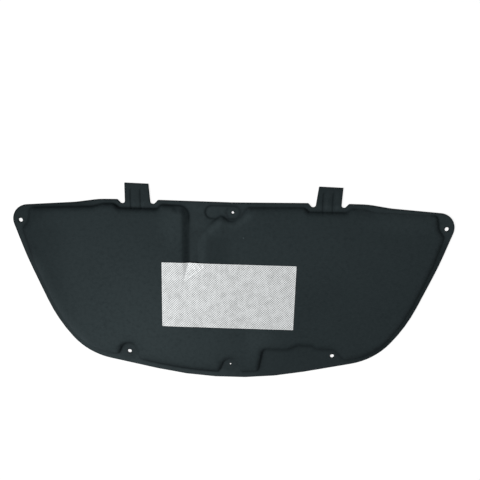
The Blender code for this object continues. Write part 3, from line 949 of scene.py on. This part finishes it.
    # The mesh. The insets of the cut section, the rings' offsets and the grid's room are in millimetres.
    cut_section: Table = ((0.35, 0.00), (0.00, 0.16), (0.02, 0.70), (0.30, 0.90), (0.90, 1.00))
    hole_sides: int = 28
    edge_step: float = 0.0025
    inner_room: Pair = (0.0019, 0.0017)
    ring_offsets: tuple[float, ...] = (
        -6.5, -4.2, -2.6, -1.5, -0.6, 0.3, 1.1, 2.2, 3.6, 5.4, 7.6, 10.2, 13.4, 17.0,
    )
    ring_error: float = 0.00018
    detail_step: float = 0.0018
    detail_offsets: tuple[float, ...] = (-0.0012, 0.0004, 0.0017, 0.0032)
    grid_step: float = 0.0042
    grid_room: float = 2.4
    least_apart: float = 0.0011
    underside_step: float = 0.025
    underside_room: Pair = (0.006, 0.006)
    steep_full: float = 0.75
    least_rise: float = 0.2
    sharp: float = math.radians(60)

    def shoulder_width(self, places: np.ndarray) -> np.ndarray:
        """How far the fields' shoulder reaches in; it is wider at the wall, the slope and the soft sides."""
        soft = largest(self.soft_sides, places)
        parts = zip(self.wide_shoulders, (self.channel_wall.at(places), self.channel_slope.at(places), soft))
        return self.shoulder + sum((width - self.shoulder) * part for width, part in parts)

    def hollows(self, places: np.ndarray) -> tuple[np.ndarray, np.ndarray]:
        """How deep the clip pocket and the tab grooves are pressed, and the painted shade at their walls.

        Args:
            places: Points in plan, one in each row.

        Returns:
            The depth, which eases from 0 outside the lines to 1 on the bottom, and the painted shade: a bell
            across each wall, and one on a ring round the hole inside the pocket.
        """
        inside = self.lines.pocket().distance(places)
        pocket = smooth(inside, *self.pocket_edge)
        grooves = [smooth(line.distance(places), *self.groove_edge) for line in self.lines.grooves()]
        deep = np.maximum.reduce(grooves)
        # Painted shade on a ring round the hole, at the pocket's wall and across the grooves' walls.
        ring = self.crease_ring * bell(self.lines.from_hole(1, places), *self.ring_bell) * pocket
        wall = self.crease_pocket * bell(inside, *self.pocket_bell)
        walls = np.maximum.reduce([wall, ring, 4.0 * self.crease_groove * deep * (1.0 - deep)])
        return np.maximum(pocket, deep), walls

    def field_level(self, places: np.ndarray, inside: np.ndarray) -> np.ndarray:
        """Height of the fields' top without their shoulders: thickness, crown and soft unevenness."""
        crown = self.crown * smooth(inside, 0.0, self.crown_run)
        return self.thickness + crown + self.swell.at(places) + self.dimples.at(places)

    def rise(self, places: np.ndarray, inside: np.ndarray) -> np.ndarray:
        """The share of the way from the rim to the field's top.

        With s the share of the shoulder's width that lies behind a place, a round shoulder rises by one
        minus (1 - s) to the bulge, all to the power of one over the bulge. The channel's left wall is
        nearly straight: s, bent by a share towards 3 s squared minus 2 s cubed.

        Args:
            places: Points in plan, one in each row.
            inside: Distance inside the fields' foot.

        Returns:
            One share for each place, from 0 to 1.
        """
        eased = 0.5 * (inside + np.sqrt(inside ** 2 + self.foot_round ** 2))
        share = np.clip(eased / self.shoulder_width(places), 0.0, 1.0)
        rounded = (1.0 - (1.0 - share) ** self.bulge) ** (1.0 / self.bulge)
        straight = share + self.wall_bend * (smooth(share, 0.0, 1.0) - share)
        return rounded + (straight - rounded) * self.channel_wall.at(places)

    def painted_shade(self, places: np.ndarray, inside: np.ndarray) -> np.ndarray:
        """The painted shade at the fields' foot: a narrow bell on the rim that fades along the shoulder.

        Its strength is read by x from three tables, for the rear, the front and what lies between, and it
        is fainter on the slope to the channel, on the soft sides and at a spot beside the left seat.

        Args:
            places: Points in plan, one in each row.
            inside: Distance inside the fields' foot.

        Returns:
            One value for each place, from 0 to 1.
        """
        x, behind = places[:, 0], inside - self.crease_middle
        reach = self.crease_inner * (1.0 + sum(part.at(places) for part in self.longer_inner))
        spread = self.crease_outer * (1.0 + self.wider_outer.at(places))
        across = np.exp(-np.maximum(behind, 0.0) / reach) * bell(np.minimum(behind, 0.0), 0.0, spread)
        rear, front = self.rear_part.at(places), self.front_part.at(places)
        strength = (1.0 - rear - front) * read(self.crease_side, x)
        strength = strength + rear * read(self.crease_rear, x) + front * read(self.crease_front, x)
        slope = self.channel_slope.at(places) * self.faint_slope.at(places)
        side = self.faint_side * largest(self.soft_sides, places)
        return across * strength * (1.0 - np.maximum.reduce([slope, side, spotted(self.faint_spots, places)]))

    def painted_light(self, places: np.ndarray, inside: np.ndarray) -> np.ndarray:
        """How much painted light falls on the felt.

        Args:
            places: Points in plan, one in each row.
            inside: Distance inside the fields' foot.

        Returns:
            The largest of several shares: the spots of painted light with a painted highlight in a band up
                the
            slope to the channel, one on a strip of the front rim, and ones in bands beside the grooves of the
            right tab.
        """
        x = places[:, 0]
        band = self.band_share * self.channel_slope.at(places) * bell(inside, *self.band_bell)
        band = band * (self.band_front + self.band_rear.at(places))
        strip = self.strip_part.at(places) * bell(x, *self.strip_bell) * smooth(inside, *self.strip_edge)
        tab = bell(x[:, None], np.array(self.tab_lines), self.tab_line_reach).sum(1)
        tab = tab * self.tab_part.at(places)
        return np.maximum.reduce([np.minimum(spotted(self.painted_light_spots, places) + band, 1.0), strip, tab])

    def shade(self, places: np.ndarray, inside: np.ndarray) -> np.ndarray:
        """How much darker the felt is as a whole.

        Args:
            places: Points in plan, one in each row.
            inside: Distance inside the fields' foot.

        Returns:
            The largest of several shares: on the tabs, along the left side, beyond the slope to the
            channel, round the left rear hole, on the rim at the left rear and on the right side, on the
            wide pocket's floor, and in the left and the middle seat.
        """
        parts = [
            largest(self.shaded_parts, places),
            spotted(self.shaded_spots, places),
            largest(self.shaded_rim, places) * smooth(inside, *self.rim_edge),
            self.shaded_floor.at(places) * smooth(inside, *self.floor_edge),
        ]
        for number, share in self.shaded_seats:
            away = self.lines.from_hole(number, places, self.seat_shift)
            parts.append(share * smooth(away, *self.seat_edge))
        return np.maximum.reduce(parts)

    def cut_shade(self, places: np.ndarray, holes: list[ClosedLine]) -> np.ndarray:
        """How dark the nearest cut edge is.

        Args:
            places: Points in plan, one in each row.
            holes: The clip holes.

        Returns:
            One value for each place: even at the front, from a table by x at the rear, with a least value
            at the left end, and one value close to a hole.
        """
        x, y = places.T
        dark = np.where(y > self.cut_rear_from, read(self.cut_rear, x), self.cut_front)
        left_end = (x < self.cut_left_from[0]) & (y > self.cut_left_from[1])
        dark = np.where(left_end, np.maximum(dark, self.cut_left), dark)
        for hole in holes:
            away = np.hypot(*(places - hole.points.mean(0)).T)
            dark = np.where(away < self.cut_hole_radius, self.cut_hole, dark)
        return dark

    def height(self, places: np.ndarray) -> tuple[np.ndarray, np.ndarray, np.ndarray]:
        """Height of the felt's top, how far it is pressed, and the painted shade in its creases.

        Args:
            places: Points in plan, one in each row.

        Returns:
            Three arrays: height in metres, pressed from 0 to 1, and painted shade in the creases from 0 to 1.
        """
        inside = self.lines.fields().distance(places)
        rise = self.rise(places, inside)
        deep, walls = self.hollows(places)
        ground = self.rim - self.hollow * deep + self.nap.at(places)
        top = ground + (self.field_level(places, inside) - ground) * rise
        painted_shade = np.maximum(self.painted_shade(places, inside), walls * (1.0 - rise))
        return top, 1.0 - rise, painted_shade

    def with_room(self, points: np.ndarray, holes: list[ClosedLine], room: Pair) -> np.ndarray:
        """Keeps the points that lie inside the pad with room to its cut edges.

        Args:
            points: Points in plan, one in each row.
            holes: The clip holes.
            room: The least distance to the outline and to a hole, in metres.

        Returns:
            The points that are kept, in their order.
        """
        kept = self.lines.outline().distance(points) > room[0]
        for hole in holes:
            kept &= hole.distance(points) < -room[1]
        return points[kept]

    def inner_points(self, outline: ClosedLine, holes: list[ClosedLine]) -> np.ndarray:
        """Points between the cut edges: rings along the pressed lines, and an even grid elsewhere.

        Args:
            outline: The pad's cut edge.
            holes: The clip holes.

        Returns:
            The points in plan, none closer than about a millimetre to a cut edge or to each other.
        """
        fields = self.lines.fields()
        along = fields.evenly(self.edge_step)
        rings = np.vstack([along.shifted(offset * MM) for offset in self.ring_offsets])
        wanted = np.repeat(np.array(self.ring_offsets) * MM, len(along.points))
        rings = rings[np.abs(fields.distance(rings) - wanted) < self.ring_error]
        small = [line.evenly(self.detail_step) for line in [self.lines.pocket()] + self.lines.grooves()]
        details = [line.shifted(offset) for line in small for offset in self.detail_offsets]
        grid = hexagonal(outline.points.min(0), outline.points.max(0), self.grid_step)
        reach = fields.distance(grid)
        first, last = self.ring_offsets[0] - self.grid_room, self.ring_offsets[-1] + self.grid_room
        points = np.vstack([rings] + details + [grid[(reach > last * MM) | (reach < first * MM)]])
        cells = np.round(points / self.least_apart).astype(np.int64)
        points = points[np.sort(np.unique(cells, axis=0, return_index=True)[1])]
        return self.with_room(points, holes, self.inner_room)

    def cut_walls(self, loops: list[ClosedLine], levels: int) -> np.ndarray:
        """The faces of the cut edges, which join each level of the loops' points with the next.

        Args:
            loops: The outline and the holes.
            levels: How many levels there are; a level holds the points of all loops.

        Returns:
            Faces of four corners, as indices into the levels' points.
        """
        count = sum(len(line.points) for line in loops)
        walls, first = [], 0
        for line in loops:
            ids = np.arange(len(line.points)) + first
            after = np.roll(ids, -1)
            for low in range(0, (levels - 1) * count, count):
                walls.append(np.column_stack([ids, after, after + count, ids + count]) + low)
            first += len(line.points)
        return np.vstack(walls)

    def build(self) -> bpy.types.Object:
        """Builds the felt and dresses it.

        The cut section, a profile of insets in millimetres and shares of the height, is carried along the
        outline and round each hole; the top between the inner ends of these bands, and the underside,
        are filled.

        Returns:
            The felt's object.
        """
        outline, holes = self.lines.outline().evenly(self.edge_step), self.lines.hole_lines(self.hole_sides)
        bands = []
        for inset, _ in self.cut_section:
            bands.append([outline.shifted(inset * MM)] + [hole.shifted(-inset * MM) for hole in holes])
        inner = self.inner_points(outline, holes)
        rim_height = self.height(np.vstack(bands[-1]))[0]
        inner_height, pressed, painted_shade = self.height(inner)
        flat = hexagonal(outline.points.min(0), outline.points.max(0), self.underside_step)
        flat = self.with_room(flat, holes, self.underside_room)
        blocks = []
        for band, (_, share) in zip(bands, self.cut_section):
            blocks.append(np.column_stack([np.vstack(band), share * rim_height]))
        blocks += [np.column_stack([inner, inner_height]), np.column_stack([flat, np.zeros(len(flat))])]
        points = np.vstack(blocks)
        count, cut = len(rim_height), len(rim_height) * len(bands)
        top = fill(bands[-1], holes, inner) + cut - count
        under = fill(bands[0], holes, flat)
        under = np.where(under < count, under, under - count + cut + len(inner))
        walls = self.cut_walls([outline] + holes, len(bands))
        made = make_object("felt_cover", points, [top, under, walls], self.sharp)
        plan = points[:, :2]
        # Painted shade: on the cut edges, in the creases and hollows, and over the shaded parts, in one
        # attribute.
        edge = self.cut_shade(plan, holes)
        beside = edge[cut:cut + len(inner)] * bell(self.lines.outline().distance(inner), 0.0, self.cut_reach)
        dark = np.concatenate([edge[:cut], np.maximum(painted_shade, beside), np.zeros(len(flat))])
        paint(made, "pressed", np.concatenate([np.ones(cut), pressed, np.ones(len(flat))]))
        inside = self.lines.fields().distance(plan)
        paint(made, "painted_shade", 1.0 - (1.0 - dark) * (1.0 - self.shade(plan, inside)))
        # Steep slopes darken, partly as painted shade.
        calm = 1.0 - np.maximum(self.channel_slope.at(plan), largest(self.soft_sides, plan))
        paint(made, "steep", self.steepness(made) * calm)
        # Painted light.
        paint(made, "painted_light", self.painted_light(plan, inside))
        made.data.materials.append(self.finish.material())
        return made

    def steepness(self, made: bpy.types.Object) -> np.ndarray:
        """How steep the surface is at each vertex.

        Args:
            made: The felt's object.

        Returns:
            The slope of each vertex's normal as a share of the slope that counts as fully steep, up to 1.
        """
        normals = np.zeros(3 * len(made.data.vertices), np.float32)
        made.data.vertex_normals.foreach_get("vector", normals)
        x, y, z = normals.reshape(-1, 3).T
        return np.clip(np.hypot(x, y) / np.maximum(np.abs(z), self.least_rise) / self.steep_full, 0.0, 1.0)


# ---- The foil ----


@dataclass
class FoilPatch:
    """The foil heat patch: a thin closed sheet that lies on the field and dips at the channel's end."""

    felt: FeltPad
    finish: FoilFinish = field(default_factory=FoilFinish)
    width: float = 0.381
    depth: float = 0.194
    middle: Pair = (-0.009, -0.0304)
    turn: float = math.radians(-0.42)
    sheet: float = 0.0004
    gap: float = 0.0003
    dip: float = 0.0046
    dip_left: float = -0.1390
    dip_left_run: float = 0.0180
    dip_tip: Pair = (-0.1310, 0.0120)
    dip_right: Pair = (-0.0600, 0.0660)
    dip_right_run: float = 0.0460
    level_inside: float = 0.060
    emboss: float = 0.00030
    cells_in_repeat: int = 6
    sharp: float = math.radians(70)
    hem: float = 0.0022
    hem_drop: float = 0.4
    underside_room: float = 0.004
    underside_step: float = 0.006
    wrinkle_reach: float = 0.0024
    wrinkle_ends: Pair = (0.08, 0.92)
    wrinkles: tuple[Wrinkle, ...] = (
        (-130.0, 15.0, -108.0, 33.0, 0.60),
        (-114.0, 27.0, -92.0, 45.0, 0.55),
        (-98.0, 40.0, -77.0, 55.0, 0.50),
        (-108.0, 60.0, -99.0, 42.0, 0.40),
        (-96.0, 64.0, -86.0, 47.0, 0.35),
        (-84.0, 65.0, -76.0, 52.0, 0.25),
    )

    def dipped(self, places: np.ndarray) -> np.ndarray:
        """How deep the foil is pressed over the channel's end.

        The depth grows with the distance to the right of the top of the channel's left wall, and above
        the line from the channel's tip to the top of its right slope, whichever gives less.

        Args:
            places: Points in plan, one in each row.

        Returns:
            One depth for each place, in metres.
        """
        tip, right = np.array(self.dip_tip), np.array(self.dip_right)
        run = (right - tip) / np.linalg.norm(right - tip)
        above = (places - tip) @ np.array([-run[1], run[0]])
        left = smooth(places[:, 0] - self.dip_left, 0.0, self.dip_left_run)
        return self.dip * np.minimum(left, smooth(above, 0.0, self.dip_right_run))

    def creased(self, places: np.ndarray) -> np.ndarray:
        """Small sharp wrinkles near the dip: each a bell across a short line, with half a sine along it.

        Args:
            places: Points in plan, one in each row.

        Returns:
            One height for each place, in metres.
        """
        total = np.zeros(len(places))
        for x0, y0, x1, y1, rise in self.wrinkles:
            start, run = np.array([x0, y0]) * MM, np.array([x1 - x0, y1 - y0]) * MM
            share = np.clip(((places - start) @ run) / (run @ run), 0.0, 1.0)
            away = np.hypot(*(places - start - share[:, None] * run).T)
            ridge = np.sin(math.pi * np.clip(share, *self.wrinkle_ends))
            total += rise * MM * bell(away, 0.0, self.wrinkle_reach) * ridge
        return total

    def base(self, places: np.ndarray) -> np.ndarray:
        """Height of the foil's underside: the field's level and the gap, less the dip, with the wrinkles.

        Args:
            places: Points in plan, one in each row.

        Returns:
            One height for each place, in metres.
        """
        inside = self.felt.lines.fields().distance(places)
        level = self.felt.field_level(places, np.maximum(inside, self.level_inside))
        return level + self.gap - self.dipped(places) + self.creased(places)

    def placed(self, across: np.ndarray, along: np.ndarray) -> np.ndarray:
        """Turns distances along the foil's two sides into places in plan.

        Args:
            across: Distances from the foil's middle along its width.
            along: Distances from its middle along its depth.

        Returns:
            Points in plan, one in each row.
        """
        cos, sin = math.cos(self.turn), math.sin(self.turn)
        x = self.middle[0] + across * cos - along * sin
        y = self.middle[1] + across * sin + along * cos
        return np.column_stack([x, y])

    def build(self) -> bpy.types.Object:
        """Builds the foil and dresses it.

        The top is a grid whose height is the base plus the sheet plus the emboss, which is the finish's
        weave and fades at the hem. The underside is a coarse sheet on the same border.

        Returns:
            The foil's object.
        """
        size = np.array([self.width, self.depth])
        columns, rows = (round(length / self.finish.repeat * self.cells_in_repeat) + 1 for length in size)
        steps = [np.linspace(-0.5, 0.5, count) * length for count, length in zip((columns, rows), size)]
        across, along = (side.ravel() for side in np.meshgrid(*steps))
        edge = np.minimum(self.width / 2 - np.abs(across), self.depth / 2 - np.abs(along))
        calm = smooth(edge, 0.0, self.hem)
        pattern = self.finish.weave(across, along, np.cos)
        plan = self.placed(across, along)
        base = self.base(plan)
        top = base + self.sheet + self.emboss * 0.5 * (pattern - 1.0) * calm
        top = top - self.sheet * self.hem_drop * (1 - calm)
        ids = np.arange(columns * rows).reshape(rows, columns)
        quads = np.stack([ids[:-1, :-1], ids[:-1, 1:], ids[1:, 1:], ids[1:, :-1]], -1).reshape(-1, 4)
        border = np.concatenate([ids[0, :-1], ids[:-1, -1], ids[-1, :0:-1], ids[:0:-1, 0]])
        inner = hexagonal(self.underside_room - size / 2, size / 2 - self.underside_room, self.underside_step)
        inner_plan = self.placed(*inner.T)
        below = fill([plan[border]], [], inner_plan)
        start = len(plan)
        points = np.vstack([
            np.column_stack([plan, top]),
            np.column_stack([plan[border], base[border]]),
            np.column_stack([inner_plan, self.base(inner_plan)]),
        ])
        lower = np.arange(len(border)) + start
        wall = np.column_stack([border, np.roll(border, -1), np.roll(lower, -1), lower])
        made = make_object("foil_sheet", points, [quads, below + start, wall], self.sharp)
        own = np.column_stack([across, along])
        own = np.vstack([own, own[border], inner])
        layer = made.data.uv_layers.new(name="foil_plan")
        corners = np.zeros(len(made.data.loops), np.int32)
        made.data.loops.foreach_get("vertex_index", corners)
        layer.data.foreach_set("uv", own[corners].astype(np.float32).ravel())
        paint(made, "rim", np.concatenate([1.0 - calm, np.ones(len(points) - len(plan))]))
        made.data.materials.append(self.finish.material())
        return made


# ---- The studio ----


@dataclass
class Studio:
    """White paper, a soft key light from the left, an even white surround and the camera."""

    paper: PaperFinish = field(default_factory=PaperFinish)
    floor_size: float = 14.0
    floor_drop: float = 0.0003
    surround: float = 0.40
    key_watts: float = 280.0
    key_size: float = 2.0
    key_place: Vector = (-4.20, -1.00, 3.50)
    lens: float = 38.625
    sensor: float = 36.0
    camera_place: Vector = (0.04065008, 0.49744789, 1.40145339)
    camera_turn: tuple[Vector, Vector, Vector] = (
        (0.99965823, -0.02249635, 0.01331679),
        (0.01845053, 0.96800761, 0.25024155),
        (-0.01852027, -0.24991033, 0.96809185),
    )

    def floor(self) -> bpy.types.Object:
        """A wide flat sheet of paper just under the object."""
        half = self.floor_size / 2
        corners = np.array([(-half, -half), (half, -half), (half, half), (-half, half)])
        points = np.column_stack([corners, np.full(4, -self.floor_drop)])
        mesh = bpy.data.meshes.new("floor")
        mesh.from_pydata(points.tolist(), [], [(0, 1, 2, 3)])
        mesh.materials.append(self.paper.material())
        return put("floor", mesh)

    def light(self) -> None:
        """Adds the surround and the key light."""
        world = bpy.data.worlds.new("surround")
        bpy.context.scene.world = world
        graph = Graph(world, "ShaderNodeOutputWorld")
        strength = self.surround + (1.0 - self.surround) * seen_rays(graph)
        graph.finish(graph.node("ShaderNodeBackground", {}, {"Color": (1.0, 1.0, 1.0), "Strength": strength}))
        lamp = bpy.data.lights.new("key", "AREA")
        lamp.energy = self.key_watts
        lamp.shape = "DISK"
        lamp.size = self.key_size
        place = np.array(self.key_place)
        back = place / np.linalg.norm(place)
        side = np.cross((0.0, 0.0, 1.0), back)
        side = side / np.linalg.norm(side)
        turn = np.column_stack([side, np.cross(back, side), back])
        key = put("key", lamp)
        key.matrix_world = Matrix.Translation(self.key_place) @ Matrix(turn.tolist()).to_4x4()

    def camera(self) -> None:
        """Adds the camera at the photograph's viewing angle."""
        made = bpy.data.cameras.new("camera")
        made.lens = self.lens
        made.sensor_width = self.sensor
        made.sensor_fit = "HORIZONTAL"
        eye = put("camera", made)
        eye.matrix_world = Matrix.Translation(self.camera_place) @ Matrix(self.camera_turn).to_4x4()
        bpy.context.scene.camera = eye

    def build(self) -> bpy.types.Object:
        """Builds the whole studio and returns the floor."""
        bpy.context.scene.view_settings.view_transform = "Standard"
        self.light()
        self.camera()
        return self.floor()


def report(thing: bpy.types.Object) -> None:
    """Logs a piece's name and how many triangles it has."""
    thing.data.calc_loop_triangles()
    LOG.info("%s: %d triangles", thing.name, len(thing.data.loop_triangles))


def main() -> None:
    """Builds the pad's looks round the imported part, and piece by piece."""
    logging.basicConfig(level=logging.INFO, format="%(message)s")
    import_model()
    Studio().build()
    felt = FeltPad()
    cover = felt.build()
    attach(cover, Body.ROOT.value)
    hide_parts("felt_pad")
    report(cover)
    foil = FoilPatch(felt)
    sheet = foil.build()
    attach(sheet, Body.ROOT.value)
    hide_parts("foil_patch")
    report(sheet)


if __name__ == "__main__":
    main()
